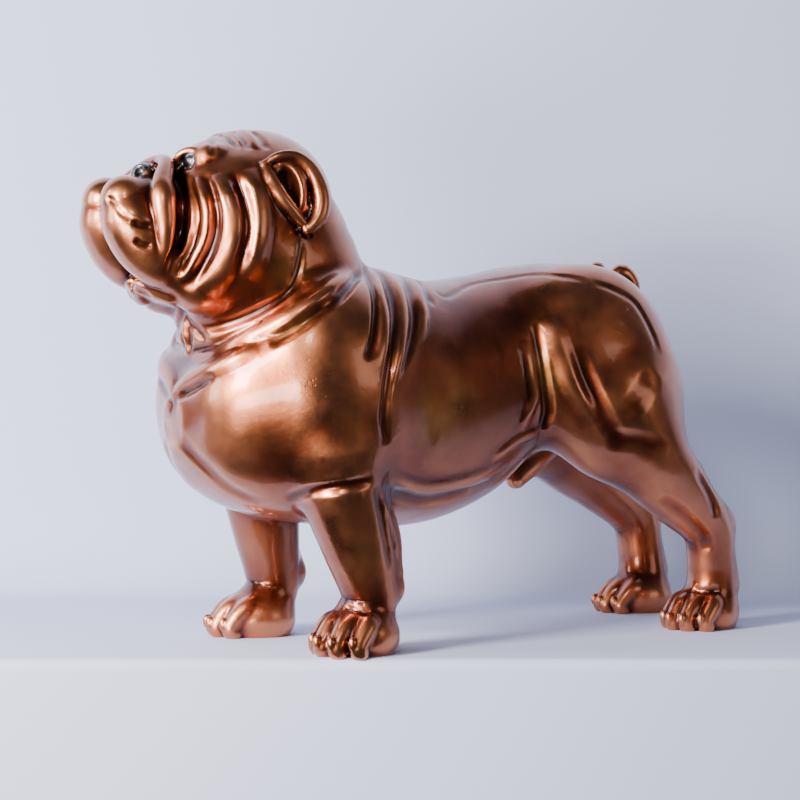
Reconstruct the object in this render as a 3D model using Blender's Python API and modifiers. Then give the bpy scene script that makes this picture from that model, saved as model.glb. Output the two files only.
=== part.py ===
# Bulldog garden statue: one bronze casting, modelled as one solid.
# The dog stands on its four paws, faces -X and looks up. +Z is up and the ground is Z = 0.

import math

import bmesh
import bpy
import numpy as np
from mathutils import Matrix

# Driving dimension, in metres: from the front of the muzzle to the farthest heel.
# The dog is drawn in units of about a thousandth of a metre, its halves either side of Y = 0.
STATUE_LENGTH = 0.767

# Coarseness of the clay while it is worked, in drawing units, and of the finished solid
ROUGH_CELL = 8.0
FINE_CELL = 3.4
MOST_TRIANGLES = 9300

# Rounds of pressing the clay onto the drawn surface, and the farthest one step goes
ROUGH_ROUNDS = 6
FINE_ROUNDS = (6, 3)
FURTHEST_STEP = 4.0
CLOSE_ENOUGH = 0.04

COLLECTION_NAME = "bulldog_garden_statue"
BODY_NAME = "bulldog"
BRONZE_COLOUR = (0.26, 0.085, 0.035, 1.0)
BRONZE_METALLIC = 1.0
BRONZE_ROUGHNESS = 0.32

LEFT = -1
RIGHT = 1

# The trunk from chest to rump, as (x, top, bottom, half width), and how square its section is
TRUNK_STATIONS = (
    (-266, 262, 208, 22),
    (-252, 292, 186, 62),
    (-230, 325, 162, 92),
    (-193, 368, 142, 117),
    (-150, 399, 131, 136),
    (-100, 402, 124, 142),
    (-50, 395, 119, 136),
    (20, 381, 124, 122),
    (85, 387, 147, 109),
    (130, 396, 180, 100),
    (180, 401, 209, 96),
    (220, 396, 226, 92),
    (252, 372, 232, 76),
    (278, 338, 240, 56),
    (296, 300, 255, 30),
)
TRUNK_SQUARENESS = 2.3

# Limbs below are rows of (x, y, z, radius): the neck, the hanging lips and the roll over the nose
NECK = (
    (-168, 0, 456, 76),
    (-164, 0, 430, 86),
    (-160, 0, 405, 92),
    (-150, 0, 365, 98),
    (-138, 0, 325, 108),
)
FLEW = (
    (-328, -23, 457, 25),
    (-323, -27, 438, 31),
    (-314, -31, 416, 30),
    (-301, -36, 398, 26),
    (-284, -40, 384, 20),
)
NOSE_ROLL = (
    (-278, 0, 499, 7),
    (-283, -22, 494, 8),
    (-297, -44, 475, 10.5),
    (-302, -55, 459, 13),
    (-302, -60, 430, 10.5),
    (-302, -56, 402, 7),
    (-303, -47, 380, 3.5),
)
LIP = ((-305, -8, 373, 9), (-296, -22, 369, 10), (-284, -34, 363, 10))

# Each foreleg: side, x of the elbow, x of the wrist, x of the paw
FORELEGS = ((LEFT, -124, -92, -110), (RIGHT, -114, -102, -128))
FORELEG_SPREAD = 100
FOREPAW_SIZE = (92, 76, 50)
FOREPAW_TOE_OUT = 18

# Each hind leg: side, how far its hock stands back from the drawn one
HIND_LEGS = ((LEFT, -1), (RIGHT, 34))
HIND_PAW_SPREAD = 90
HIND_PAW_SIZE = (88, 70, 46)
HIND_PAW_TOE_OUT = 15
TOES = (-0.36, -0.125, 0.125, 0.36)

TAIL = (
    (236, 0, 370, 14),
    (247, 1, 390, 9),
    (256, 2, 395, 8),
    (265, 3, 383, 6),
    (275, 3, 384, 8),
    (287, 2, 391, 10.5),
    (299, 0, 378, 9.5),
    (299, -2, 352, 9),
)
EAR_RIM = (
    (-202, -80, 493, 4),
    (-190, -86, 501, 5),
    (-173, -89, 502, 6),
    (-159, -92, 492, 7.5),
    (-150, -95, 476, 8.5),
    (-147, -98, 459, 9),
    (-150, -100, 444, 8.5),
    (-158, -101, 433, 6.5),
    (-165, -100, 428, 4.5),
)
EAR_FLAP = (
    (-202, -81, 493, 4),
    (-200, -89, 480, 6.5),
    (-192, -94, 462, 7.5),
    (-179, -97, 446, 6.5),
    (-167, -98, 434, 4.5),
)
EAR_RIDGE = (
    (-174, -84, 494, 3),
    (-167, -90, 482, 4),
    (-164, -92, 466, 4),
    (-167, -92, 450, 3),
)

# Each eye: side, how far it sits back, how far it sits down
EYES = ((LEFT, 0, 0), (RIGHT, 10, -8))
UPPER_LID = ((-268, -13, 491, 3.5), (-267, -18, 503, 4), (-259, -26, 508, 4.5), (-248, -34, 506, 5))
LOWER_LID = ((-267, -16, 486, 4), (-260, -30, 485, 4.5), (-248, -42, 487, 5))

# Every fold below is (points on the left side, width, height), and a negative height is a groove.
FACE_FOLDS = (
    (((-271, -17, 495), (-271, -28, 478), (-276, -45, 458), (-280, -49, 427), (-293, -60, 401),
      (-300, -56, 380)), 9, -8),
    (((-267, -41, 480), (-269, -61, 459), (-270, -68, 439), (-273, -65, 417), (-281, -63, 397),
      (-289, -60, 382)), 8, -5),
    (((-264, -50, 479), (-264, -70, 459), (-264, -78, 438), (-266, -74, 416), (-274, -69, 396),
      (-284, -61, 377)), 11, 7),
    (((-258, -55, 485), (-257, -77, 461), (-257, -84, 437), (-260, -80, 411), (-270, -72, 389),
      (-280, -60, 368)), 10, -7),
    (((-252, -66, 483), (-247, -84, 461), (-243, -92, 438), (-244, -92, 415), (-252, -79, 386),
      (-263, -68, 364)), 19, 9),
    (((-236, -77, 485), (-231, -92, 459), (-229, -97, 431), (-233, -95, 407), (-238, -84, 382)), 12, -6),
    (((-222, -79, 489), (-217, -92, 467), (-216, -98, 435), (-220, -97, 407), (-226, -86, 378)), 19, 6),
)
LIP_LINES = (
    (((-339, 0, 476), (-347, 0, 445), (-331, 0, 408), (-307, 0, 381)), 7, -6),
    (((-338, 0, 472), (-349, -37, 456), (-343, -49, 442), (-331, -58, 434)), 5, -2),
    (((-336, -56, 435), (-326, -59, 431), (-316, -60, 430)), 5, -4),
    (((-333, -55, 417), (-325, -58, 412), (-316, -61, 411)), 5, -3),
    (((-315, 0, 380), (-313, -10, 369), (-301, -27, 361)), 6, -5),
)
FOREHEAD_WRINKLES = (
    (((-214, 0, 529), (-216, -19, 525), (-217, -55, 510)), 5, -4),
    (((-207, 0, 531), (-210, -28, 524), (-211, -57, 511)), 6, 3),
    (((-199, 0, 533), (-206, -28, 526), (-209, -61, 508)), 5, -4),
    (((-192, -4, 533), (-197, -37, 524), (-201, -62, 509)), 6, 3),
    (((-187, -22, 531), (-187, -44, 522), (-190, -63, 509)), 5, -4),
    (((-221, 0, 525), (-245, -50, 508), (-250, -54, 495)), 6, -2.5),
)
NECK_FOLDS = (
    (((-166, -91, 422), (-170, -94, 396), (-182, -96, 368), (-206, -82, 349), (-234, -56, 334),
      (-249, -28, 329)), 7, -5),
    (((-72, -55, 394), (-141, -125, 363), (-173, -128, 343), (-193, -121, 328),
      (-211, -105, 314)), 10, -7),
    (((-105, -84, 389), (-154, -120, 366), (-189, -114, 344), (-215, -87, 327),
      (-240, -56, 312)), 14, 6),
    (((-206, -94, 336), (-218, -78, 330), (-242, -47, 314), (-250, -6, 308)), 7, -5),
    (((-283, 0, 360), (-258, 0, 347), (-253, -14, 334), (-245, -38, 318)), 8, -6),
)
THROAT_FOLDS = (
    (((-249, 0, 336), (-248, 0, 322), (-249, 0, 301)), 9, 3),
    (((-254, -3, 336), (-252, -8, 322), (-250, 0, 306)), 9, -3),
    (((-261, 0, 254), (-260, -18, 276), (-245, -70, 294), (-218, -97, 312)), 14, 5),
    (((-261, 0, 242), (-266, -8, 259), (-260, -37, 270), (-250, -67, 284)), 8, -4),
    (((-266, -8, 227), (-249, -40, 191), (-224, -51, 167), (-193, -60, 154)), 13, -3),
    (((-178, -79, 157), (-170, -119, 168), (-145, -143, 174), (-113, -144, 180)), 9, -5),
)
SHOULDER_FOLDS = (
    (((-67, -58, 390), (-85, -107, 367), (-93, -130, 343), (-101, -144, 318), (-113, -152, 287)), 9, 4),
    (((-74, -54, 396), (-90, -100, 374), (-103, -130, 348), (-114, -145, 320),
      (-126, -151, 297)), 7, -5),
    (((-55, -37, 399), (-63, -79, 379), (-77, -122, 346), (-90, -143, 313), (-102, -151, 274),
      (-105, -150, 239), (-100, -146, 213)), 8, -6),
    (((-42, -31, 397), (-53, -88, 371), (-64, -119, 342), (-80, -141, 308), (-93, -150, 274)), 9, 4),
    (((-20, -32, 388), (-40, -90, 366), (-49, -115, 341), (-64, -133, 313), (-82, -146, 286)), 8, -4),
    (((-7, -29, 385), (-27, -88, 363), (-36, -112, 340), (-54, -129, 314)), 8, 3),
    (((4, -25, 385), (-9, -69, 371), (-16, -95, 353)), 7, -4),
)
FLANK_AND_HAUNCH = (
    (((105, -99, 336), (107, -108, 305), (114, -108, 270), (120, -103, 242), (119, -93, 222)), 9, -6),
    (((91, -103, 317), (96, -108, 284), (101, -106, 255), (85, -104, 221)), 10, 3),
    (((118, -91, 220), (87, -100, 213), (48, -104, 191)), 9, 3),
    (((122, -103, 343), (129, -113, 307), (144, -120, 265), (168, -127, 233)), 16, 4),
    (((144, -118, 312), (158, -126, 270), (175, -131, 233), (191, -131, 212)), 14, -4),
    (((236, -137, 283), (213, -145, 260), (195, -139, 235)), 18, -2.5),
    (((179, -125, 212), (209, -138, 211), (247, -143, 198)), 15, -2.5),
    (((-90, -132, 180), (-40, -110, 168), (15, -102, 171), (75, -91, 185)), 12, 4),
    (((-76, -115, 164), (-26, -96, 153), (32, -90, 161)), 12, -4),
)
BACK_LINE = (
    (((7, -64, 370), (13, -73, 363), (66, -45, 378), (125, -52, 387), (152, -82, 385),
      (176, -99, 379)), 7, -1.6),
    (((176, -99, 379), (204, -106, 370), (228, -110, 356), (243, -119, 326), (248, -126, 300)), 7, -1.6),
)
LEG_LINES = (
    (((-109, -142, 173), (-97, -135, 133), (-84, -128, 86)), 9, -4.5),
    (((-97, -134, 158), (-79, -121, 126), (-69, -116, 95)), 6, 3),
    (((-126, -104, 48), (-119, -118, 46), (-107, -129, 43)), 6, -3),
    (((314, -96, 43), (321, -110, 42), (336, -117, 45)), 6, -3),
    (((250, -125, 149), (283, -124, 127), (312, -116, 105), (323, -113, 86)), 10, -4),
    (((291, -134, 177), (313, -129, 149), (326, -126, 124)), 9, -4),
    (((-149, 0, 40), (-145, 0, 34), (-133, 0, 31)), 7, -2.5),
)
CARVING = (
    FACE_FOLDS
    + LIP_LINES
    + FOREHEAD_WRINKLES
    + NECK_FOLDS
    + THROAT_FOLDS
    + SHOULDER_FOLDS
    + FLANK_AND_HAUNCH
    + BACK_LINE
    + LEG_LINES
)


def turned(pitch=0.0, yaw=0.0):
    """Rotation in degrees: pitch about Y, then yaw about Z."""
    about_y = Matrix.Rotation(math.radians(pitch), 3, "Y")
    about_z = Matrix.Rotation(math.radians(yaw), 3, "Z")
    return np.array(about_z @ about_y)


def read_at(rows, place):
    """Smooth curve through rows of numbers, read at places counted in rows, and its slope there."""
    ends = np.vstack([2 * rows[0] - rows[1], rows, 2 * rows[-1] - rows[-2]])
    start = np.clip(place.astype(int), 0, len(rows) - 2)
    f = (place - start)[:, None]
    a, b, c, d = (ends[start + n] for n in range(4))
    first = c - a
    bend = 2 * a - 5 * b + 4 * c - d
    twist = 3 * b - a - 3 * c + d
    value = 0.5 * (2 * b + first * f + bend * f**2 + twist * f**3)
    slope = 0.5 * (first + 2 * bend * f + 3 * twist * f**2)
    return value, slope


def flowing(points, steps):
    """Smooth curve through the given rows of numbers, read at so many places."""
    rows = np.asarray(points, float)
    return read_at(rows, np.linspace(0, len(rows) - 1, steps))[0]


def nearest_on(rows, points):
    """For each point the nearest place on the smooth curve through rows, and its distance from there."""
    last = len(rows) - 1
    steps = 4 * last
    line = flowing(rows[:, :3], steps + 1)
    least = np.full(len(points), 1e9)
    place = np.zeros(len(points))
    for step, (start, end) in enumerate(zip(line[:-1], line[1:])):
        along = end - start
        share = np.clip((points - start) @ along / (along @ along), 0, 1)
        offset = points - start - share[:, None] * along
        distance = np.einsum("ij,ij->i", offset, offset)
        closer = distance < least
        least[closer] = distance[closer]
        place[closer] = (step + share[closer]) * last / steps
    spot, slope = read_at(rows[:, :3], place)
    nudge = ((points - spot) * slope).sum(1) / (slope**2).sum(1)
    place = np.clip(place + np.clip(nudge, -0.2, 0.2), 0, last)
    spot = read_at(rows, place)[0]
    return place, spot, np.linalg.norm(points - spot[:, :3], axis=1)


def melted(first, second, blend):
    """The nearer of two surfaces, with a fillet where they meet."""
    share = np.clip(0.5 + 0.5 * (second - first) / blend, 0, 1)
    return second * (1 - share) + first * share - blend * share * (1 - share)


class Blockout:
    """Takes the dog's masses as Blender's own spheres, all in one mesh."""

    def __init__(self):
        self.mesh = bmesh.new()
        one_ball = bmesh.new()
        bmesh.ops.create_icosphere(one_ball, subdivisions=3, radius=1)
        self.ball_mesh = bpy.data.meshes.new("ball")
        one_ball.to_mesh(self.ball_mesh)
        one_ball.free()

    def ball(self, centre, radii, turn, both):
        for side in (LEFT, RIGHT) if both else (LEFT,):
            place = Matrix.Translation((centre[0], -side * centre[1], centre[2]))
            axes = np.diag((1, -side, 1)) @ turn @ np.diag((1, -side, 1))
            copy = self.ball_mesh.copy()
            copy.transform(place @ Matrix(axes.tolist()).to_4x4() @ Matrix.Diagonal((*radii, 1)))
            self.mesh.from_mesh(copy)
            bpy.data.meshes.remove(copy)

    def egg(self, centre, radii, blend, pitch=0, yaw=0, both=True, hollow=False):
        if not hollow:
            self.ball(centre, radii, turned(pitch, yaw), both)

    def limb(self, rows, blend, both=True, hollow=False):
        for x, y, z, radius in flowing(rows, 6 * (len(rows) - 1) + 1):
            self.ball((x, y, z), (radius, radius, radius), np.eye(3), both)

    def trunk(self, stations, blend, squareness):
        for x, top, bottom, half in flowing(stations, 4 * (len(stations) - 1) + 1):
            radii = (min(half, 24), half, (top - bottom) / 2)
            self.ball((x, 0, (top + bottom) / 2), radii, np.eye(3), False)


class Clay:
    """Takes the same masses, and knows how far each of its points is from their smooth surface."""

    def __init__(self, points):
        self.points = np.asarray(points, float)
        self.folded = self.points.copy()
        self.folded[:, 1] = -np.abs(self.points[:, 1])
        self.gap = np.full(len(self.points), 1000.0)

    def near(self, low, high, both):
        points = self.folded if both else self.points
        inside = ((points > low) & (points < high)).all(axis=1)
        found = np.flatnonzero(inside)
        return found, points[found]

    def join(self, found, distance, blend, hollow=False):
        if hollow:
            self.gap[found] = -melted(-self.gap[found], distance, blend)
        else:
            self.gap[found] = melted(self.gap[found], distance, blend)

    def egg(self, centre, radii, blend, pitch=0, yaw=0, both=True, hollow=False):
        centre = np.array(centre, float)
        radii = np.array(radii, float)
        reach = radii.max() + blend + 12
        found, points = self.near(centre - reach, centre + reach, both)
        local = (points - centre) @ turned(pitch, yaw)
        scaled = np.sqrt(((local / radii) ** 2).sum(1)) + 1e-9
        slope = np.sqrt(((local / radii**2) ** 2).sum(1)) + 1e-9
        self.join(found, scaled * (scaled - 1) / slope, blend, hollow)

    def limb(self, rows, blend, both=True, hollow=False):
        rows = np.asarray(rows, float)
        reach = rows[:, 3:4] + blend + 16
        found, points = self.near((rows[:, :3] - reach).min(0), (rows[:, :3] + reach).max(0), both)
        spot, distance = nearest_on(rows, points)[1:]
        self.join(found, distance - spot[:, 3], blend, hollow)

    def trunk(self, stations, blend, squareness):
        rows = flowing(stations, 16 * (len(stations) - 1) + 1)
        margin = 60
        low = np.array([rows[0, 0] - margin, -rows[:, 3].max() - margin, rows[:, 2].min() - margin])
        high = np.array([rows[-1, 0] + margin, rows[:, 3].max() + margin, rows[:, 1].max() + margin])
        found, points = self.near(low, high, False)

        def beyond(x):
            top, bottom, half = (np.interp(x, rows[:, 0], rows[:, n]) for n in (1, 2, 3))
            rise = points[:, 2] - (top + bottom) / 2
            sides = (np.abs(points[:, 1]) / half) ** squareness
            ends = (2 * np.abs(rise) / (top - bottom)) ** squareness
            return np.hypot(points[:, 1], rise) * (1 - 1 / ((sides + ends) ** (1 / squareness) + 1e-6))

        x = points[:, 0]
        radial = beyond(x)
        steepness = np.hypot(1, (beyond(x + 2) - beyond(x - 2)) / 4)
        past_ends = np.maximum(rows[0, 0] - x, x - rows[-1, 0])
        self.join(found, np.maximum(radial / steepness, past_ends), blend)

    def fold(self, points, width, height):
        """Raises a ridge along a line, or presses a groove, fading out across its width and at its ends."""
        rows = np.asarray(points, float)
        found, near = self.near(rows.min(0) - width - 4, rows.max(0) + width + 4, True)
        place, _, distance = nearest_on(rows, near)
        across = np.clip(distance / width, 0, 1)
        ends = np.clip(1.6 * np.sin(math.pi * place / (len(rows) - 1)), 0, 1)
        self.gap[found] -= height * ends * (1 - across**2) ** 2


def body(clay):
    clay.trunk(TRUNK_STATIONS, 10, TRUNK_SQUARENESS)
    # Shoulders, points of the chest, loin and haunches
    clay.egg((-132, -90, 270), (78, 60, 110), 30, pitch=-10)
    clay.egg((-200, -50, 266), (46, 50, 62), 30)
    clay.egg((195, -66, 300), (98, 60, 95), 30, pitch=18)
    clay.egg((219, -87, 246), (84, 47, 82), 30, pitch=35)
    # Sheath under the belly
    clay.limb(((202, 0, 216, 16), (180, 0, 198, 18), (160, 0, 181, 17), (146, 0, 166, 12)), 14)


def head(clay):
    clay.limb(NECK, 10)
    clay.egg((-212, 0, 350), (42, 60, 62), 20)
    # Skull, cheeks, flat of the face and brows
    clay.egg((-192, 0, 462), (82, 86, 67), 16, pitch=-2)
    clay.egg((-214, -46, 424), (62, 53, 76), 20, pitch=-10)
    clay.egg((-232, 0, 460), (38, 64, 42), 16)
    clay.egg((-254, -41, 386), (38, 33, 42), 14)
    # Muzzle: bridge, the two hanging lips, lower lip and nose
    clay.egg((-290, 0, 440), (38, 50, 44), 10)
    clay.limb(FLEW, 6)
    clay.egg((-304, -20, 458), (26, 24, 22), 8)
    clay.egg((-266, 0, 386), (38, 46, 32), 12)
    clay.limb(LIP, 5)
    clay.egg((-298, 0, 484), (13, 18, 12.5), 4)


def paw(clay, x, y, toe_out, size):
    """A deep pad and four arched toes, each with a short claw sunk in its tip."""
    length, width, height = size
    angle = math.radians(toe_out)
    ahead = np.array([-math.cos(angle), -math.sin(angle), 0])
    across = np.array([-math.sin(angle), math.cos(angle), 0])
    up = np.array([0, 0, height])
    base = np.array([x, y, 0])
    pad = base - ahead * 0.08 * length + 0.36 * up
    clay.egg(pad, (0.45 * length, 0.53 * width, 0.68 * height), 8, yaw=toe_out, both=False)
    for place in TOES:
        reach = 0.40 if abs(place) < 0.2 else 0.27
        root = base + across * place * 0.70 * width - ahead * 0.04 * length + 0.72 * up
        knuckle = base + across * place * 0.95 * width + ahead * (reach - 0.17) * length + 0.60 * up
        tip = base + across * place * 1.02 * width + ahead * reach * length + 0.24 * up
        sole = tip - ahead * 0.02 * length - 0.14 * up
        rows = ((*root, 0.12 * width), (*knuckle, 0.15 * width), (*tip, 0.13 * width), (*sole, 0.125 * width))
        clay.limb(rows, 2.5, both=False)
        claw = tip + ahead * 0.095 * length + 0.06 * up
        clay.egg(claw, (0.05 * length, 0.058 * width, 0.15 * height), 1, yaw=toe_out, both=False)


def forelegs(clay):
    for side, elbow, wrist, foot in FORELEGS:
        y = side * FORELEG_SPREAD
        rows = (
            (elbow - 8, y, 205, 49),
            (elbow - 2, y + 2 * side, 165, 43),
            ((elbow + wrist) / 2, y + side, 110, 36),
            (wrist, y - 2 * side, 60, 29),
            (wrist - 6, y - 3 * side, 38, 29),
        )
        clay.limb(rows, 16, both=False)
        clay.egg((wrist + 27, y - 2 * side, 66), (12, 14, 17), 10, both=False)
        tendon = (
            (elbow + 24, y + 8 * side, 180, 12),
            (wrist + 19, y + 8 * side, 125, 9),
            (wrist + 25, y + 4 * side, 85, 9),
        )
        clay.limb(tendon, 10, both=False)
        paw(clay, foot, y, -side * FOREPAW_TOE_OUT, FOREPAW_SIZE)


def hind_legs(clay):
    for side, back in HIND_LEGS:
        y = side * HIND_PAW_SPREAD
        rows = (
            (218, y - 6 * side, 250, 60),
            (252 + back / 2, y + 5 * side, 195, 48),
            (292 + back, y + 8 * side, 152, 37),
            (334 + back, y + 5 * side, 112, 28),
            (343 + back, y + 2 * side, 70, 26),
            (345 + back, y, 35, 29),
        )
        clay.limb(rows, 18, both=False)
        heel = (
            (312 + back, y + 8 * side, 175, 12),
            (338 + back, y + 6 * side, 142, 9),
            (359 + back, y + 5 * side, 118, 12),
            (360 + back, y + 4 * side, 88, 11),
            (364 + back, y + 2 * side, 48, 15),
        )
        clay.limb(heel, 8, both=False)
        paw(clay, 331 + back, y, -side * HIND_PAW_TOE_OUT, HIND_PAW_SIZE)


def tail(clay):
    clay.limb(TAIL, 2, both=False)


def ears(clay):
    clay.egg((-172, -82, 468), (30, 16, 36), 6)
    clay.egg((-182, -100, 470), (12, 17, 27), 3, pitch=-14, hollow=True)
    clay.egg((-158, -104, 468), (7, 14, 22), 2, pitch=6, hollow=True)
    clay.limb(EAR_RIM, 3)
    clay.limb(EAR_FLAP, 3)
    clay.limb(EAR_RIDGE, 2)


def eye(clay, side, back, drop):
    """A brow, two lids, and between them a socket with the eyeball deep in it."""

    def moved(rows):
        return [(x + back, -side * y, z + drop, radius) for x, y, z, radius in rows]

    clay.egg((-240 + back, 36 * side, 501 + drop), (18, 16, 15), 9, both=False)
    clay.limb(moved(UPPER_LID), 4, both=False)
    clay.limb(moved(LOWER_LID), 4, both=False)
    clay.egg((-267 + back, 33 * side, 497 + drop), (9, 11, 9), 2, both=False, hollow=True)
    clay.egg((-256 + back, 26 * side, 497 + drop), (8, 10, 9), 1, both=False)


def face(clay):
    clay.limb(NOSE_ROLL, 3)
    for side, back, drop in EYES:
        eye(clay, side, back, drop)


def nostrils(clay):
    clay.egg((-309, -9, 488), (8, 5, 6), 2, hollow=True)


def masses(clay):
    body(clay)
    head(clay)
    forelegs(clay)
    hind_legs(clay)
    tail(clay)
    ears(clay)
    face(clay)


def mass_gap(points):
    clay = Clay(points)
    masses(clay)
    return clay.gap


def settled(gap, points, rounds):
    """Moves points onto the surface where gap is zero, straight down its slope."""
    probe = 0.5
    for _ in range(rounds):
        value = gap(points)
        slope = np.stack([(gap(points + probe * axis) - value) / probe for axis in np.eye(3)], 1)
        steepness = np.sqrt(np.maximum((slope**2).sum(1), 0.1))
        step = np.clip(value / steepness, -FURTHEST_STEP, FURTHEST_STEP)
        points = points - slope * (step / steepness)[:, None]
    return points


def laid_on_the_masses(carving):
    """The same folds, with the points of their lines moved onto the bare masses."""
    lines = [np.array(line, float) for line, width, height in carving]
    points = settled(mass_gap, np.vstack(lines), ROUGH_ROUNDS)
    ends = np.cumsum([len(line) for line in lines])[:-1]
    moved = np.split(points, ends)
    return [(line, width, height) for line, (_, width, height) in zip(moved, carving)]


def carved_gap_with(folds):
    def gap(points):
        clay = Clay(points)
        masses(clay)
        for line, width, height in folds:
            clay.fold(line, width, height)
        nostrils(clay)
        return clay.gap

    return gap


def object_from(mesh, name):
    obj = bpy.data.objects.new(name, mesh)
    bpy.context.scene.collection.objects.link(obj)
    return obj


def evaluated_mesh(obj):
    """The object's mesh with its modifiers applied. The object itself is removed."""
    graph = bpy.context.evaluated_depsgraph_get()
    mesh = bpy.data.meshes.new_from_object(obj.evaluated_get(graph))
    bpy.data.objects.remove(obj)
    return mesh


def remeshed(mesh, cell):
    """One even skin round the whole mesh, its steps smoothed away."""
    obj = object_from(mesh, "clay")
    remesh = obj.modifiers.new("Remesh", "REMESH")
    remesh.mode = "VOXEL"
    remesh.voxel_size = cell
    smooth = obj.modifiers.new("Smooth", "SMOOTH")
    smooth.factor = 0.5
    smooth.iterations = 3
    return evaluated_mesh(obj)


def points_of(mesh):
    flat = np.empty(3 * len(mesh.vertices), np.float32)
    mesh.vertices.foreach_get("co", flat)
    return flat.reshape(-1, 3)


def normals_of(mesh):
    flat = np.empty(3 * len(mesh.vertices), np.float32)
    mesh.vertex_normals.foreach_get("vector", flat)
    return flat.reshape(-1, 3)


def pressed(mesh, gap, rounds):
    """Presses each vertex along its normal onto the surface that gap describes."""
    points = points_of(mesh)
    moving = np.arange(len(points))
    probe = 0.7
    for _ in range(rounds):
        along = normals_of(mesh)[moving]
        value = gap(points[moving])
        off = np.abs(value) > CLOSE_ENOUGH
        moving = moving[off]
        along = along[off]
        value = value[off]
        slope = (gap(points[moving] + probe * along) - value) / probe
        step = np.clip(value / np.maximum(slope, 0.6), -FURTHEST_STEP, FURTHEST_STEP)
        points[moving] -= along * step[:, None]
        mesh.vertices.foreach_set("co", points.ravel())
        mesh.update()


def thinned(mesh, most_triangles):
    obj = object_from(mesh, "clay")
    triangles = sum(len(face.vertices) - 2 for face in mesh.polygons)
    decimate = obj.modifiers.new("Decimate", "DECIMATE")
    decimate.ratio = min(1.0, most_triangles / triangles)
    return evaluated_mesh(obj)


def stood_on_flat_soles(mesh):
    """Cuts the paws off level at the ground, and centres the dog over the origin at its real size."""
    work = bmesh.new()
    work.from_mesh(mesh)
    everything = work.verts[:] + work.edges[:] + work.faces[:]
    bmesh.ops.bisect_plane(
        work, geom=everything, dist=1e-4, plane_co=(0, 0, 0), plane_no=(0, 0, 1), clear_inner=True
    )
    rims = [edge for edge in work.edges if edge.is_boundary]
    for vert in {vert for edge in rims for vert in edge.verts}:
        vert.co.z = 0.0
    bmesh.ops.holes_fill(work, edges=rims, sides=0)
    bmesh.ops.triangulate(work, faces=work.faces[:])
    corners = np.array([vert.co[:] for vert in work.verts])
    middle = (corners.min(0) + corners.max(0)) / 2
    scale = STATUE_LENGTH / np.ptp(corners[:, 0])
    bmesh.ops.translate(work, verts=work.verts, vec=(-middle[0], -middle[1], 0))
    bmesh.ops.scale(work, verts=work.verts, vec=(scale, scale, scale))
    bmesh.ops.recalc_face_normals(work, faces=work.faces)
    finished = bpy.data.meshes.new(BODY_NAME)
    work.to_mesh(finished)
    work.free()
    return finished


def bronze():
    material = bpy.data.materials.new("patinated_bronze")
    material.use_nodes = True
    shader = material.node_tree.nodes["Principled BSDF"]
    shader.inputs["Base Color"].default_value = BRONZE_COLOUR
    shader.inputs["Metallic"].default_value = BRONZE_METALLIC
    shader.inputs["Roughness"].default_value = BRONZE_ROUGHNESS
    return material


def sculpted_dog():
    blockout = Blockout()
    masses(blockout)
    mesh = bpy.data.meshes.new("clay")
    blockout.mesh.to_mesh(mesh)
    blockout.mesh.free()
    mesh = remeshed(mesh, ROUGH_CELL)
    pressed(mesh, mass_gap, ROUGH_ROUNDS)
    carved_gap = carved_gap_with(laid_on_the_masses(CARVING))
    for rounds in FINE_ROUNDS:
        mesh = remeshed(mesh, FINE_CELL)
        pressed(mesh, carved_gap, rounds)
    return thinned(mesh, MOST_TRIANGLES)


def main():
    for obj in list(bpy.data.objects):
        bpy.data.objects.remove(obj)
    mesh = stood_on_flat_soles(sculpted_dog())
    mesh.materials.append(bronze())
    mesh.shade_smooth()
    dog = bpy.data.objects.new(BODY_NAME, mesh)
    collection = bpy.data.collections.new(COLLECTION_NAME)
    bpy.context.scene.collection.children.link(collection)
    collection.objects.link(dog)
    print(dog.name, tuple(round(side, 4) for side in dog.dimensions), len(mesh.polygons), "triangles")


main()
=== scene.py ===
# %% [markdown]
# A bulldog in cast bronze, as stands by a garden door. The solid it stands for is already
# made, so the frame is loaded first and the box of that solid is measured. Everything that
# follows is fitted into this box.

# %% Frame
import math

import bmesh
import bpy
import numpy as np
from mathutils import Matrix, Vector


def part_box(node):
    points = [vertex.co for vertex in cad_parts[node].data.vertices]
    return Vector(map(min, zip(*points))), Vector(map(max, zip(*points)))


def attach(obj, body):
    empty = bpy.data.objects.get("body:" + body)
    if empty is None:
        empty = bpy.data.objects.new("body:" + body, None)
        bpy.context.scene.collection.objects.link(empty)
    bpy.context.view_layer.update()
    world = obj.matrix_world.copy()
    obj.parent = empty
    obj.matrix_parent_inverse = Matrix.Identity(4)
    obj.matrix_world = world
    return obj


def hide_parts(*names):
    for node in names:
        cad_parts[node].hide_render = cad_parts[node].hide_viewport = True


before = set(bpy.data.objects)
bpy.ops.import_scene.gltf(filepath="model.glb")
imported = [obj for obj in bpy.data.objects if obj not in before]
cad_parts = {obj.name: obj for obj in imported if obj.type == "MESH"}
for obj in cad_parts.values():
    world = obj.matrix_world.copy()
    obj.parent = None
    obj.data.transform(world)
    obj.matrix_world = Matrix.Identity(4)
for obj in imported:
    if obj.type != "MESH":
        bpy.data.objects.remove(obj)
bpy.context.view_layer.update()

body_low, body_high = (np.array(corner, float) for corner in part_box("bulldog"))
print("the cast body stands between", body_low.round(3), "and", body_high.round(3))

# %% [markdown]
# The statue is one bronze casting, so it is one mesh here as well. It could be pushed
# about in sculpt mode, but then nobody could change it afterwards. Instead the dog is
# written down as a maker's drawing: masses first, then folds of skin.
# All sizes are in thousandths of a metre, with Y = 0 down its middle, its left side at
# negative Y, the ground at Z = 0 and its face towards -X. A smooth curve through rows of
# numbers serves for every limb and fold, so that a few rows are enough.

# %% Drawing and curves
LEFT = -1
RIGHT = 1
PIECES_PER_SPAN = 4


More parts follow.
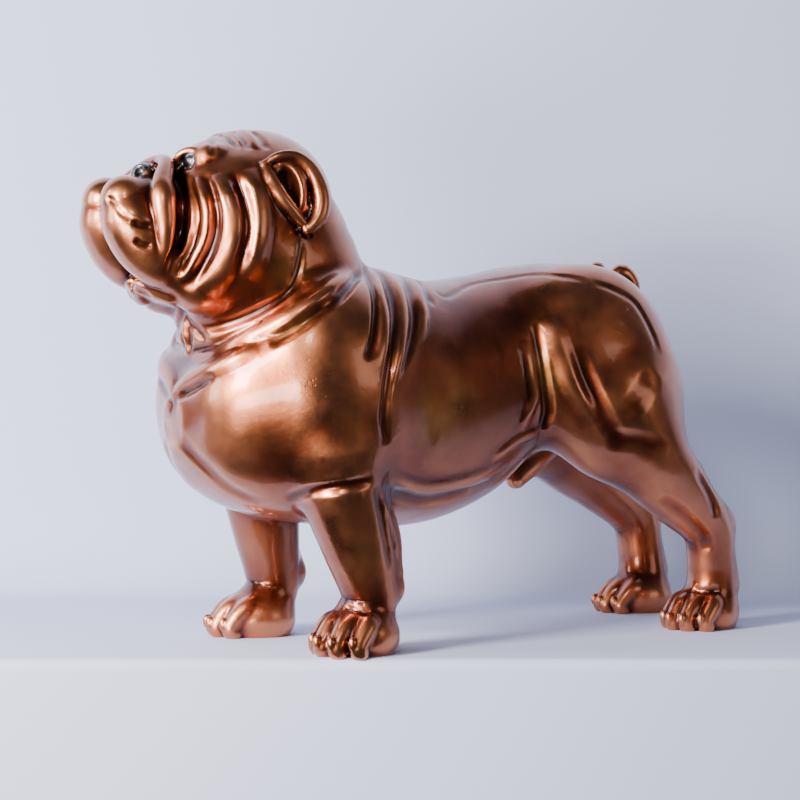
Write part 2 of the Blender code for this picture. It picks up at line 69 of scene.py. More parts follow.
def turned(pitch=0.0, yaw=0.0):
    """Rotation in degrees: pitch about Y, then yaw about Z."""
    about_y = Matrix.Rotation(math.radians(pitch), 3, "Y")
    about_z = Matrix.Rotation(math.radians(yaw), 3, "Z")
    return np.array(about_z @ about_y)


def read_at(rows, place):
    """Smooth curve through rows of numbers, read at places counted in rows, and its slope there."""
    ends = np.vstack([2 * rows[0] - rows[1], rows, 2 * rows[-1] - rows[-2]])
    start = np.clip(place.astype(int), 0, len(rows) - 2)
    f = (place - start)[:, None]
    a, b, c, d = (ends[start + n] for n in range(4))
    first = c - a
    bend = 2 * a - 5 * b + 4 * c - d
    twist = 3 * b - a - 3 * c + d
    value = 0.5 * (2 * b + first * f + bend * f**2 + twist * f**3)
    slope = 0.5 * (first + 2 * bend * f + 3 * twist * f**2)
    return value, slope


def flowing(points, steps):
    """Smooth curve through the given rows of numbers, read at so many places."""
    rows = np.asarray(points, float)
    return read_at(rows, np.linspace(0, len(rows) - 1, steps))[0]


def nearest_on(rows, points):
    """For each point the nearest place on the smooth curve through rows, and its distance from there."""
    last = len(rows) - 1
    steps = PIECES_PER_SPAN * last
    line = flowing(rows[:, :3], steps + 1)
    least = np.full(len(points), np.inf)
    place = np.zeros(len(points))
    for step, (start, end) in enumerate(zip(line[:-1], line[1:])):
        along = end - start
        share = np.clip((points - start) @ along / (along @ along), 0, 1)
        offset = points - start - share[:, None] * along
        distance = np.einsum("ij,ij->i", offset, offset)
        closer = distance < least
        least[closer] = distance[closer]
        place[closer] = (step + share[closer]) * last / steps
    spot, slope = read_at(rows[:, :3], place)
    nudge = ((points - spot) * slope).sum(1) / (slope**2).sum(1)
    place = np.clip(place + np.clip(nudge, -0.2, 0.2), 0, last)
    spot = read_at(rows, place)[0]
    return place, spot, np.linalg.norm(points - spot[:, :3], axis=1)


print("one turn through", len(flowing(np.eye(4), 9)), "places of a curve")

# %% [markdown]
# Clay: every mass is a rounded thing, an egg or a limb, and wet clay runs together where
# two of them touch. A metaball does the same, but with one blend for all. Here each mass
# has its own blend, so that a haunch flows into the belly while a toe stays crisp.
# The class keeps a crowd of points and works out how far each is from the clay's surface.
# Points are folded over to the left side first, so one mass drawn there makes both sides.

# %% Clay
NOTHING_NEAR = 1000.0
EGG_MARGIN = 12
LIMB_MARGIN = 16
TRUNK_MARGIN = 60
FOLD_MARGIN = 4
FOLD_END_FADING = 1.6


def melted(first, second, blend):
    """The nearer of two surfaces, with a fillet where they meet."""
    share = np.clip(0.5 + 0.5 * (second - first) / blend, 0, 1)
    return second * (1 - share) + first * share - blend * share * (1 - share)


class Clay:
    """Points that know how far they are from the surface of what is modelled so far."""

    def __init__(self, points):
        self.points = np.asarray(points, float)
        self.folded = self.points.copy()
        self.folded[:, 1] = -np.abs(self.points[:, 1])
        self.gap = np.full(len(self.points), NOTHING_NEAR)

    def near(self, low, high, both):
        points = self.folded if both else self.points
        inside = ((points > low) & (points < high)).all(axis=1)
        found = np.flatnonzero(inside)
        return found, points[found]

    def join(self, found, distance, blend, hollow=False):
        if hollow:
            self.gap[found] = -melted(-self.gap[found], distance, blend)
        else:
            self.gap[found] = melted(self.gap[found], distance, blend)

    def egg(self, centre, radii, blend, pitch=0, yaw=0, both=True, hollow=False):
        centre = np.array(centre, float)
        radii = np.array(radii, float)
        reach = radii.max() + blend + EGG_MARGIN
        found, points = self.near(centre - reach, centre + reach, both)
        local = (points - centre) @ turned(pitch, yaw)
        scaled = np.sqrt(((local / radii) ** 2).sum(1)) + 1e-9
        slope = np.sqrt(((local / radii**2) ** 2).sum(1)) + 1e-9
        self.join(found, scaled * (scaled - 1) / slope, blend, hollow)

    def limb(self, rows, blend, both=True, hollow=False):
        rows = np.asarray(rows, float)
        reach = rows[:, 3:4] + blend + LIMB_MARGIN
        found, points = self.near((rows[:, :3] - reach).min(0), (rows[:, :3] + reach).max(0), both)
        spot, distance = nearest_on(rows, points)[1:]
        self.join(found, distance - spot[:, 3], blend, hollow)

    def trunk(self, stations, blend, squareness):
        rows = flowing(stations, 16 * (len(stations) - 1) + 1)
        widest = rows[:, 3].max()
        low = np.array([rows[0, 0], -widest, rows[:, 2].min()]) - TRUNK_MARGIN
        high = np.array([rows[-1, 0], widest, rows[:, 1].max()]) + TRUNK_MARGIN
        found, points = self.near(low, high, False)

        def beyond(x):
            top, bottom, half = (np.interp(x, rows[:, 0], rows[:, n]) for n in (1, 2, 3))
            rise = points[:, 2] - (top + bottom) / 2
            sides = (np.abs(points[:, 1]) / half) ** squareness
            ends = (2 * np.abs(rise) / (top - bottom)) ** squareness
            return np.hypot(points[:, 1], rise) * (1 - 1 / ((sides + ends) ** (1 / squareness) + 1e-6))

        x = points[:, 0]
        radial = beyond(x)
        steepness = np.hypot(1, (beyond(x + 2) - beyond(x - 2)) / 4)
        past_ends = np.maximum(rows[0, 0] - x, x - rows[-1, 0])
        self.join(found, np.maximum(radial / steepness, past_ends), blend)

    def fold(self, points, width, height):
        """Raises a ridge along a line, or presses a groove, fading out across its width and at its ends."""
        rows = np.asarray(points, float)
        reach = width + FOLD_MARGIN
        found, near = self.near(rows.min(0) - reach, rows.max(0) + reach, True)
        place, _, distance = nearest_on(rows, near)
        across = np.clip(distance / width, 0, 1)
        ends = np.clip(FOLD_END_FADING * np.sin(math.pi * place / (len(rows) - 1)), 0, 1)
        self.gap[found] -= height * ends * (1 - across**2) ** 2


probe = Clay([(0, 0, 30)])
probe.egg((0, 0, 0), (10, 10, 10), 1)
print("a point 30 over the middle of a ball of radius 10 is", round(float(probe.gap[0]), 2), "off it")

# %% [markdown]
# The trunk is a loft: at each station along the back its top, its underside and its half
# width are read off, and the section is an ellipse made a little square, because a bulldog
# is a barrel on the chest and a box over the loin. Shoulders and haunches are eggs laid
# against it with a wide blend, and the sheath is a short limb under the belly.

# %% Trunk
# Stations are (x, top, bottom, half width)
TRUNK_STATIONS = (
    (-266, 262, 208, 22),
    (-252, 292, 186, 62),
    (-230, 325, 162, 92),
    (-193, 368, 142, 117),
    (-150, 399, 131, 136),
    (-100, 402, 124, 142),
    (-50, 395, 119, 136),
    (20, 381, 124, 122),
    (85, 387, 147, 109),
    (130, 396, 180, 100),
    (180, 401, 209, 96),
    (220, 396, 226, 92),
    (252, 372, 232, 76),
    (278, 338, 240, 56),
    (296, 300, 255, 30),
)
TRUNK_SQUARENESS = 2.3


def body(clay):
    clay.trunk(TRUNK_STATIONS, 10, TRUNK_SQUARENESS)
    # Shoulders, points of the chest, loin and haunches
    clay.egg((-132, -90, 270), (78, 60, 110), 30, pitch=-10)
    clay.egg((-200, -50, 266), (46, 50, 62), 30)
    clay.egg((195, -66, 300), (98, 60, 95), 30, pitch=18)
    clay.egg((219, -87, 246), (84, 47, 82), 30, pitch=35)
    # Sheath under the belly
    clay.limb(((202, 0, 216, 16), (180, 0, 198, 18), (160, 0, 181, 17), (146, 0, 166, 12)), 14)


print("trunk of", len(TRUNK_STATIONS), "stations")

# %% [markdown]
# The head is carried high with the face turned up, so the skull is nearly level with the
# muzzle and the cheeks hang behind it. The two upper lips are the largest forms of the
# face: each is a short thick limb that hangs from beside the nose, joined with a tight blend
# so that the split between the two stays.

# %% Neck and head
# Limbs are rows of (x, y, z, radius)
NECK = (
    (-168, 0, 456, 76),
    (-164, 0, 430, 86),
    (-160, 0, 405, 92),
    (-150, 0, 365, 98),
    (-138, 0, 325, 108),
)
FLEW = (
    (-328, -23, 457, 25),
    (-323, -27, 438, 31),
    (-314, -31, 416, 30),
    (-301, -36, 398, 26),
    (-284, -40, 384, 20),
)
LIP = ((-305, -8, 373, 9), (-296, -22, 369, 10), (-284, -34, 363, 10))


def head(clay):
    clay.limb(NECK, 10)
    clay.egg((-212, 0, 350), (42, 60, 62), 20)
    # Skull, cheeks, flat of the face and brows
    clay.egg((-192, 0, 462), (82, 86, 67), 16, pitch=-2)
    clay.egg((-214, -46, 424), (62, 53, 76), 20, pitch=-10)
    clay.egg((-232, 0, 460), (38, 64, 42), 16)
    clay.egg((-254, -41, 386), (38, 33, 42), 14)
    # Muzzle: bridge, the two hanging lips, lower lip and nose
    clay.egg((-290, 0, 440), (38, 50, 44), 10)
    clay.limb(FLEW, 6)
    clay.egg((-304, -20, 458), (26, 24, 22), 8)
    clay.egg((-266, 0, 386), (38, 46, 32), 12)
    clay.limb(LIP, 5)
    clay.egg((-298, 0, 484), (13, 18, 12.5), 4)


print("a neck of", len(NECK), "places and a lip of", len(FLEW))

# %% [markdown]
# The roll of skin over the nose is thicker than any fold, so it is a limb of its own, laid
# over the nose from one corner of the mouth to the other. Each eye is a ball deep in a socket
# between two lids, under a round brow. The right eye of this dog sits a little lower and
# further back. The nostrils are scooped out at the very end.

# %% Nose roll and eyes
NOSE_ROLL = (
    (-278, 0, 499, 7),
    (-283, -22, 494, 8),
    (-297, -44, 475, 10.5),
    (-302, -55, 459, 13),
    (-302, -60, 430, 10.5),
    (-302, -56, 402, 7),
    (-303, -47, 380, 3.5),
)
# Each eye is (side, how far it sits back, how far it is lifted)
EYES = ((LEFT, 0, 0), (RIGHT, 10, -8))
UPPER_LID = ((-268, -13, 491, 3.5), (-267, -18, 503, 4), (-259, -26, 508, 4.5), (-248, -34, 506, 5))
LOWER_LID = ((-267, -16, 486, 4), (-260, -30, 485, 4.5), (-248, -42, 487, 5))


def eye(clay, side, back, lift):
    """A brow, two lids, and between them a socket with the eyeball deep in it."""

    def moved(rows):
        return [(x + back, -side * y, z + lift, radius) for x, y, z, radius in rows]

    clay.egg((-240 + back, 36 * side, 501 + lift), (18, 16, 15), 9, both=False)
    clay.limb(moved(UPPER_LID), 4, both=False)
    clay.limb(moved(LOWER_LID), 4, both=False)
    clay.egg((-267 + back, 33 * side, 497 + lift), (9, 11, 9), 2, both=False, hollow=True)
    clay.egg((-256 + back, 26 * side, 497 + lift), (8, 10, 9), 1, both=False)


def face(clay):
    clay.limb(NOSE_ROLL, 3)
    for side, back, lift in EYES:
        eye(clay, side, back, lift)


def nostrils(clay):
    clay.egg((-309, -9, 488), (8, 5, 6), 2, hollow=True)


print("a nose roll of", len(NOSE_ROLL), "places and", len(EYES), "eyes")

# %% [markdown]
# A paw is a deep pad with four arched toes, each ending in a short claw. All its sizes are
# shares of the paw's length, width and height, so one function serves for fore and hind. Each
# toe has its place across the paw and its reach: the two middle ones reach further forward.

# %% Paws
# Toes are (place across, reach forward), as shares of the paw's width and length
TOES = ((-0.36, 0.27), (-0.125, 0.40), (0.125, 0.40), (0.36, 0.27))


def paw(clay, x, y, toe_out, size):
    """A deep pad and four arched toes, each with a short claw sunk in its tip."""
    length, width, height = size
    angle = math.radians(toe_out)
    ahead = np.array([-math.cos(angle), -math.sin(angle), 0])
    across = np.array([-math.sin(angle), math.cos(angle), 0])
    up = np.array([0, 0, height])
    base = np.array([x, y, 0])
    pad = base - ahead * 0.08 * length + 0.36 * up
    clay.egg(pad, (0.45 * length, 0.53 * width, 0.68 * height), 8, yaw=toe_out, both=False)
    for place, reach in TOES:
        root = base + across * place * 0.70 * width - ahead * 0.04 * length + 0.72 * up
        knuckle = base + across * place * 0.95 * width + ahead * (reach - 0.17) * length + 0.60 * up
        tip = base + across * place * 1.02 * width + ahead * reach * length + 0.24 * up
        sole = tip - ahead * 0.02 * length - 0.14 * up
        rows = ((*root, 0.12 * width), (*knuckle, 0.15 * width), (*tip, 0.13 * width), (*sole, 0.125 * width))
        clay.limb(rows, 2.5, both=False)
        claw = tip + ahead * 0.095 * length + 0.06 * up
        clay.egg(claw, (0.05 * length, 0.058 * width, 0.15 * height), 1, yaw=toe_out, both=False)


print("a paw has", len(TOES), "toes")

# %% [markdown]
# The legs are limbs that taper to the wrist or the hock, with a sinew behind each. The paws
# point a little outwards, and on this dog the right pair stands further back than the left,
# so each leg has its own place.

# %% Legs
# Each foreleg is (side, x of the elbow, x of the wrist, x of the paw)
FORELEGS = ((LEFT, -124, -92, -110), (RIGHT, -114, -102, -128))
FORELEG_SPREAD = 100
FOREPAW_SIZE = (92, 76, 50)
FOREPAW_TOE_OUT = 18
# Each hind leg is (side, how far its hock stands back from the drawn one)
HIND_LEGS = ((LEFT, -1), (RIGHT, 34))
HIND_PAW_SPREAD = 90
HIND_PAW_SIZE = (88, 70, 46)
HIND_PAW_TOE_OUT = 15
HIND_PAW_PLACE = 331


def forelegs(clay):
    for side, elbow, wrist, foot in FORELEGS:
        y = side * FORELEG_SPREAD
        rows = (
            (elbow - 8, y, 205, 49),
            (elbow - 2, y + 2 * side, 165, 43),
            ((elbow + wrist) / 2, y + side, 110, 36),
            (wrist, y - 2 * side, 60, 29),
            (wrist - 6, y - 3 * side, 38, 29),
        )
        clay.limb(rows, 16, both=False)
        clay.egg((wrist + 27, y - 2 * side, 66), (12, 14, 17), 10, both=False)
        tendon = (
            (elbow + 24, y + 8 * side, 180, 12),
            (wrist + 19, y + 8 * side, 125, 9),
            (wrist + 25, y + 4 * side, 85, 9),
        )
        clay.limb(tendon, 10, both=False)
        paw(clay, foot, y, -side * FOREPAW_TOE_OUT, FOREPAW_SIZE)


def hind_legs(clay):
    for side, back in HIND_LEGS:
        y = side * HIND_PAW_SPREAD
        rows = (
            (218, y - 6 * side, 250, 60),
            (252 + back / 2, y + 5 * side, 195, 48),
            (292 + back, y + 8 * side, 152, 37),
            (334 + back, y + 5 * side, 112, 28),
            (343 + back, y + 2 * side, 70, 26),
            (345 + back, y, 35, 29),
        )
        clay.limb(rows, 18, both=False)
        heel = (
            (312 + back, y + 8 * side, 175, 12),
            (338 + back, y + 6 * side, 142, 9),
            (359 + back, y + 5 * side, 118, 12),
            (360 + back, y + 4 * side, 88, 11),
            (364 + back, y + 2 * side, 48, 15),
        )
        clay.limb(heel, 8, both=False)
        paw(clay, HIND_PAW_PLACE + back, y, -side * HIND_PAW_TOE_OUT, HIND_PAW_SIZE)


print(len(FORELEGS) + len(HIND_LEGS), "legs")

# %% [markdown]
# The ear is a folded one: a thin back, two hollows scooped out of it, and round it a rolled
# rim that is thickest where it turns over. The short tail is one screwed limb.

# %% Ears and tail
EAR_RIM = (
    (-202, -80, 493, 4),
    (-190, -86, 501, 5),
    (-173, -89, 502, 6),
    (-159, -92, 492, 7.5),
    (-150, -95, 476, 8.5),
    (-147, -98, 459, 9),
    (-150, -100, 444, 8.5),
    (-158, -101, 433, 6.5),
    (-165, -100, 428, 4.5),
)
EAR_FLAP = (
    (-202, -81, 493, 4),
    (-200, -89, 480, 6.5),
    (-192, -94, 462, 7.5),
    (-179, -97, 446, 6.5),
    (-167, -98, 434, 4.5),
)
EAR_RIDGE = (
    (-174, -84, 494, 3),
    (-167, -90, 482, 4),
    (-164, -92, 466, 4),
    (-167, -92, 450, 3),
)
TAIL = (
    (236, 0, 370, 14),
    (247, 1, 390, 9),
    (256, 2, 395, 8),
    (265, 3, 383, 6),
    (275, 3, 384, 8),
    (287, 2, 391, 10.5),
    (299, 0, 378, 9.5),
    (299, -2, 352, 9),
)


def ears(clay):
    clay.egg((-172, -82, 468), (30, 16, 36), 6)
    clay.egg((-182, -100, 470), (12, 17, 27), 3, pitch=-14, hollow=True)
    clay.egg((-158, -104, 468), (7, 14, 22), 2, pitch=6, hollow=True)
    clay.limb(EAR_RIM, 3)
    clay.limb(EAR_FLAP, 3)
    clay.limb(EAR_RIDGE, 2)


def tail(clay):
    clay.limb(TAIL, 2, both=False)


def masses(clay):
    body(clay)
    head(clay)
    forelegs(clay)
    hind_legs(clay)
    tail(clay)
    ears(clay)
    face(clay)


def mass_gap(points):
    clay = Clay(points)
    masses(clay)
    return clay.gap


print("the nape is", round(float(mass_gap([(-60, 0, 500)])[0]), 1), "below a point over it")

# %% [markdown]
# Folds of skin are lines laid on the bare masses. Along each line the clay is raised or
# pressed in, most at the line and fading out across its width, and running out to nothing
# at both ends as real skin does. Each fold is written as (points on the left side, width,
# height), where a negative height is a groove. The points need only be near the surface,
# because they are moved onto it before the carving starts.

# %% Folds of the face
FACE_FOLDS = (
    (((-271, -17, 495), (-271, -28, 478), (-276, -45, 458), (-280, -49, 427), (-293, -60, 401),
      (-300, -56, 380)), 9, -8),
    (((-267, -41, 480), (-269, -61, 459), (-270, -68, 439), (-273, -65, 417), (-281, -63, 397),
      (-289, -60, 382)), 8, -5),
    (((-264, -50, 479), (-264, -70, 459), (-264, -78, 438), (-266, -74, 416), (-274, -69, 396),
      (-284, -61, 377)), 11, 7),
    (((-258, -55, 485), (-257, -77, 461), (-257, -84, 437), (-260, -80, 411), (-270, -72, 389),
      (-280, -60, 368)), 10, -7),
    (((-252, -66, 483), (-247, -84, 461), (-243, -92, 438), (-244, -92, 415), (-252, -79, 386),
      (-263, -68, 364)), 19, 9),
    (((-236, -77, 485), (-231, -92, 459), (-229, -97, 431), (-233, -95, 407), (-238, -84, 382)), 12, -6),
    (((-222, -79, 489), (-217, -92, 467), (-216, -98, 435), (-220, -97, 407), (-226, -86, 378)), 19, 6),
)
LIP_LINES = (
    (((-339, 0, 476), (-347, 0, 445), (-331, 0, 408), (-307, 0, 381)), 7, -6),
    (((-338, 0, 472), (-349, -37, 456), (-343, -49, 442), (-331, -58, 434)), 5, -2),
    (((-336, -56, 435), (-326, -59, 431), (-316, -60, 430)), 5, -4),
    (((-333, -55, 417), (-325, -58, 412), (-316, -61, 411)), 5, -3),
    (((-315, 0, 380), (-313, -10, 369), (-301, -27, 361)), 6, -5),
)
FOREHEAD_WRINKLES = (
    (((-214, 0, 529), (-216, -19, 525), (-217, -55, 510)), 5, -4),
    (((-207, 0, 531), (-210, -28, 524), (-211, -57, 511)), 6, 3),
    (((-199, 0, 533), (-206, -28, 526), (-209, -61, 508)), 5, -4),
    (((-192, -4, 533), (-197, -37, 524), (-201, -62, 509)), 6, 3),
    (((-187, -22, 531), (-187, -44, 522), (-190, -63, 509)), 5, -4),
    (((-221, 0, 525), (-245, -50, 508), (-250, -54, 495)), 6, -2.5),
)
print(len(FACE_FOLDS) + len(LIP_LINES) + len(FOREHEAD_WRINKLES), "folds on each side of the face")

# %% [markdown]
# Below the head the skin hangs in a collar round the neck, in two cords down the throat
# and in long drapes behind the shoulder. Over the flank and the haunch the lines are the
# edges of muscles, so they are wide and shallow.

# %% Folds of neck, trunk and legs
NECK_FOLDS = (
    (((-166, -91, 422), (-170, -94, 396), (-182, -96, 368), (-206, -82, 349), (-234, -56, 334),
      (-249, -28, 329)), 7, -5),
    (((-72, -55, 394), (-141, -125, 363), (-173, -128, 343), (-193, -121, 328),
      (-211, -105, 314)), 10, -7),
    (((-105, -84, 389), (-154, -120, 366), (-189, -114, 344), (-215, -87, 327),
      (-240, -56, 312)), 14, 6),
    (((-206, -94, 336), (-218, -78, 330), (-242, -47, 314), (-250, -6, 308)), 7, -5),
    (((-283, 0, 360), (-258, 0, 347), (-253, -14, 334), (-245, -38, 318)), 8, -6),
)
THROAT_FOLDS = (
    (((-249, 0, 336), (-248, 0, 322), (-249, 0, 301)), 9, 3),
    (((-254, -3, 336), (-252, -8, 322), (-250, 0, 306)), 9, -3),
    (((-261, 0, 254), (-260, -18, 276), (-245, -70, 294), (-218, -97, 312)), 14, 5),
    (((-261, 0, 242), (-266, -8, 259), (-260, -37, 270), (-250, -67, 284)), 8, -4),
    (((-266, -8, 227), (-249, -40, 191), (-224, -51, 167), (-193, -60, 154)), 13, -3),
    (((-178, -79, 157), (-170, -119, 168), (-145, -143, 174), (-113, -144, 180)), 9, -5),
)
SHOULDER_FOLDS = (
    (((-67, -58, 390), (-85, -107, 367), (-93, -130, 343), (-101, -144, 318), (-113, -152, 287)), 9, 4),
    (((-74, -54, 396), (-90, -100, 374), (-103, -130, 348), (-114, -145, 320),
      (-126, -151, 297)), 7, -5),
    (((-55, -37, 399), (-63, -79, 379), (-77, -122, 346), (-90, -143, 313), (-102, -151, 274),
      (-105, -150, 239), (-100, -146, 213)), 8, -6),
    (((-42, -31, 397), (-53, -88, 371), (-64, -119, 342), (-80, -141, 308), (-93, -150, 274)), 9, 4),
    (((-20, -32, 388), (-40, -90, 366), (-49, -115, 341), (-64, -133, 313), (-82, -146, 286)), 8, -4),
    (((-7, -29, 385), (-27, -88, 363), (-36, -112, 340), (-54, -129, 314)), 8, 3),
    (((4, -25, 385), (-9, -69, 371), (-16, -95, 353)), 7, -4),
)
FLANK_AND_HAUNCH = (
    (((105, -99, 336), (107, -108, 305), (114, -108, 270), (120, -103, 242), (119, -93, 222)), 9, -6),
    (((91, -103, 317), (96, -108, 284), (101, -106, 255), (85, -104, 221)), 10, 3),
    (((118, -91, 220), (87, -100, 213), (48, -104, 191)), 9, 3),
    (((122, -103, 343), (129, -113, 307), (144, -120, 265), (168, -127, 233)), 16, 4),
    (((144, -118, 312), (158, -126, 270), (175, -131, 233), (191, -131, 212)), 14, -4),
    (((236, -137, 283), (213, -145, 260), (195, -139, 235)), 18, -2.5),
    (((179, -125, 212), (209, -138, 211), (247, -143, 198)), 15, -2.5),
    (((-90, -132, 180), (-40, -110, 168), (15, -102, 171), (75, -91, 185)), 12, 4),
    (((-76, -115, 164), (-26, -96, 153), (32, -90, 161)), 12, -4),
)
BACK_LINE = (
    (((7, -64, 370), (13, -73, 363), (66, -45, 378), (125, -52, 387), (152, -82, 385),
      (176, -99, 379)), 7, -1.6),
    (((176, -99, 379), (204, -106, 370), (228, -110, 356), (243, -119, 326), (248, -126, 300)), 7, -1.6),
)
LEG_LINES = (
    (((-109, -142, 173), (-97, -135, 133), (-84, -128, 86)), 9, -4.5),
    (((-97, -134, 158), (-79, -121, 126), (-69, -116, 95)), 6, 3),
    (((-126, -104, 48), (-119, -118, 46), (-107, -129, 43)), 6, -3),
    (((314, -96, 43), (321, -110, 42), (336, -117, 45)), 6, -3),
    (((250, -125, 149), (283, -124, 127), (312, -116, 105), (323, -113, 86)), 10, -4),
    (((291, -134, 177), (313, -129, 149), (326, -126, 124)), 9, -4),
    (((-149, 0, 40), (-145, 0, 34), (-133, 0, 31)), 7, -2.5),
)
CARVING = (
    FACE_FOLDS
    + LIP_LINES
    + FOREHEAD_WRINKLES
    + NECK_FOLDS
    + THROAT_FOLDS
    + SHOULDER_FOLDS
    + FLANK_AND_HAUNCH
    + BACK_LINE
    + LEG_LINES
)
print(len(CARVING), "folds on each side of the whole dog")

# %% [markdown]
# Now the drawing becomes metal. Blender's own balls are heaped up in the same places as
# the masses, and a voxel remesh will turn the heap into one closed skin. The class answers
# to the same names as the clay, so the same functions that describe the dog also heap it up.

# %% Blockout from Blender's balls
ROUGH_CELL = 6.0
FINE_CELL = 1.95
MOST_TRIANGLES = 197000


class Blockout:
    """Takes the dog's masses as Blender's own spheres, all in one mesh."""

    def __init__(self):
        self.mesh = bmesh.new()
        one_ball = bmesh.new()
        bmesh.ops.create_icosphere(one_ball, subdivisions=3, radius=1)
        self.ball_mesh = bpy.data.meshes.new("ball")
        one_ball.to_mesh(self.ball_mesh)
        one_ball.free()

    def ball(self, centre, radii, turn, both):
        for side in (LEFT, RIGHT) if both else (LEFT,):
            place = Matrix.Translation((centre[0], -side * centre[1], centre[2]))
            axes = np.diag((1, -side, 1)) @ turn @ np.diag((1, -side, 1))
            copy = self.ball_mesh.copy()
            copy.transform(place @ Matrix(axes.tolist()).to_4x4() @ Matrix.Diagonal((*radii, 1)))
            self.mesh.from_mesh(copy)
            bpy.data.meshes.remove(copy)

    def egg(self, centre, radii, blend, pitch=0, yaw=0, both=True, hollow=False):
        if not hollow:
            self.ball(centre, radii, turned(pitch, yaw), both)

    def limb(self, rows, blend, both=True, hollow=False):
        for x, y, z, radius in flowing(rows, 6 * (len(rows) - 1) + 1):
            self.ball((x, y, z), (radius, radius, radius), np.eye(3), both)

    def trunk(self, stations, blend, squareness):
        for x, top, bottom, half in flowing(stations, 4 * (len(stations) - 1) + 1):
            radii = (min(half, 24), half, (top - bottom) / 2)
            self.ball((x, 0, (top + bottom) / 2), radii, np.eye(3), False)


blockout = Blockout()
masses(blockout)
clay_mesh = bpy.data.meshes.new("clay")
blockout.mesh.to_mesh(clay_mesh)
blockout.mesh.free()
print("blockout of", len(clay_mesh.polygons) // len(blockout.ball_mesh.polygons), "balls")

# %% [markdown]
# The remesh leaves small steps, which a little smoothing takes away. Then every vertex is
# pressed along its normal until the clay says that it lies on the surface. How far to go is
# judged twice, at the vertex and just above it, because where two masses run together the
# clay gives too large a distance, and a full step would overshoot and crumple the skin.

# %% Remeshing and pressing
FURTHEST_STEP = 4.0
CLOSE_ENOUGH = 0.04
ROUGH_ROUNDS = 6
FINE_ROUNDS = (5, 2)


def object_from(mesh, name):
    obj = bpy.data.objects.new(name, mesh)
    bpy.context.scene.collection.objects.link(obj)
    return obj


def evaluated_mesh(obj):
    """The object's mesh with its modifiers applied. The object itself is removed."""
    graph = bpy.context.evaluated_depsgraph_get()
    mesh = bpy.data.meshes.new_from_object(obj.evaluated_get(graph))
    bpy.data.objects.remove(obj)
    return mesh


def remeshed(mesh, cell):
    """One even skin round the whole mesh, its steps smoothed away."""
    obj = object_from(mesh, "clay")
    remesh = obj.modifiers.new("Remesh", "REMESH")
    remesh.mode = "VOXEL"
    remesh.voxel_size = cell
    smooth = obj.modifiers.new("Smooth", "SMOOTH")
    smooth.factor = 0.5
    smooth.iterations = 3
    return evaluated_mesh(obj)


def points_of(mesh):
    flat = np.empty(3 * len(mesh.vertices), np.float32)
    mesh.vertices.foreach_get("co", flat)
    return flat.reshape(-1, 3)


def normals_of(mesh):
    flat = np.empty(3 * len(mesh.vertices), np.float32)
    mesh.vertex_normals.foreach_get("vector", flat)
    return flat.reshape(-1, 3)


def pressed(mesh, gap, rounds):
    """Presses each vertex along its normal onto the surface that gap describes."""
    points = points_of(mesh)
    moving = np.arange(len(points))
    probe = 0.7
    for _ in range(rounds):
        along = normals_of(mesh)[moving]
        value = gap(points[moving])
        off = np.abs(value) > CLOSE_ENOUGH
        moving = moving[off]
        along = along[off]
        value = value[off]
        slope = (gap(points[moving] + probe * along) - value) / probe
        step = np.clip(value / np.maximum(slope, 0.6), -FURTHEST_STEP, FURTHEST_STEP)
        points[moving] -= along * step[:, None]
        mesh.vertices.foreach_set("co", points.ravel())
        mesh.update()
    return len(moving)


clay_mesh = remeshed(clay_mesh, ROUGH_CELL)
still_moving = pressed(clay_mesh, mass_gap, ROUGH_ROUNDS)
print("rough skin of", len(clay_mesh.vertices), "points,", still_moving, "of them still moving")

# %% [markdown]
# The points of the folds were picked on one view of the dog, worked out from there as
# places on the masses, and rounded. So they lie a little off the skin, most of all near the
# outline of that view. Each point slides down the slope of the clay until it lies on the bare
# masses. Only then is the skin remeshed finer and pressed again, now with the folds in it.
# Doing this twice evens out the places where the first pressing stretched the skin.

# %% Laying the folds on the masses
def settled(gap, points, rounds):
    """Moves points onto the surface where gap is zero, straight down its slope."""
    probe = 0.5
    for _ in range(rounds):
        value = gap(points)
        slope = np.stack([(gap(points + probe * axis) - value) / probe for axis in np.eye(3)], 1)
        steepness = np.sqrt(np.maximum((slope**2).sum(1), 0.1))
        step = np.clip(value / steepness, -FURTHEST_STEP, FURTHEST_STEP)
        points = points - slope * (step / steepness)[:, None]
    return points


def laid_on_the_masses(carving):
    """The same folds, with the points of their lines moved onto the bare masses."""
    lines = [np.array(line, float) for line, width, height in carving]
    points = settled(mass_gap, np.vstack(lines), ROUGH_ROUNDS)
    ends = np.cumsum([len(line) for line in lines])[:-1]
    moved = np.split(points, ends)
    return [(line, width, height) for line, (_, width, height) in zip(moved, carving)]


folds = laid_on_the_masses(CARVING)


def carved_gap(points):
    clay = Clay(points)
    masses(clay)
    for line, width, height in folds:
        clay.fold(line, width, height)
    nostrils(clay)
    return clay.gap


for rounds in FINE_ROUNDS:
    clay_mesh = remeshed(clay_mesh, FINE_CELL)
    still_moving = pressed(clay_mesh, carved_gap, rounds)
print("fine skin of", len(clay_mesh.vertices), "points,", still_moving, "of them still moving")

# %% [markdown]
# The casting stands on four flat soles. They are cut level at the ground, the rim of each
# cut is filled, and the dog is set in the box of the solid that it stands for.

# %% Flat soles and place
def thinned(mesh, most_triangles):
    obj = object_from(mesh, "clay")
    triangles = sum(len(face.vertices) - 2 for face in mesh.polygons)
    decimate = obj.modifiers.new("Decimate", "DECIMATE")
    decimate.ratio = min(1.0, most_triangles / triangles)
    return evaluated_mesh(obj)


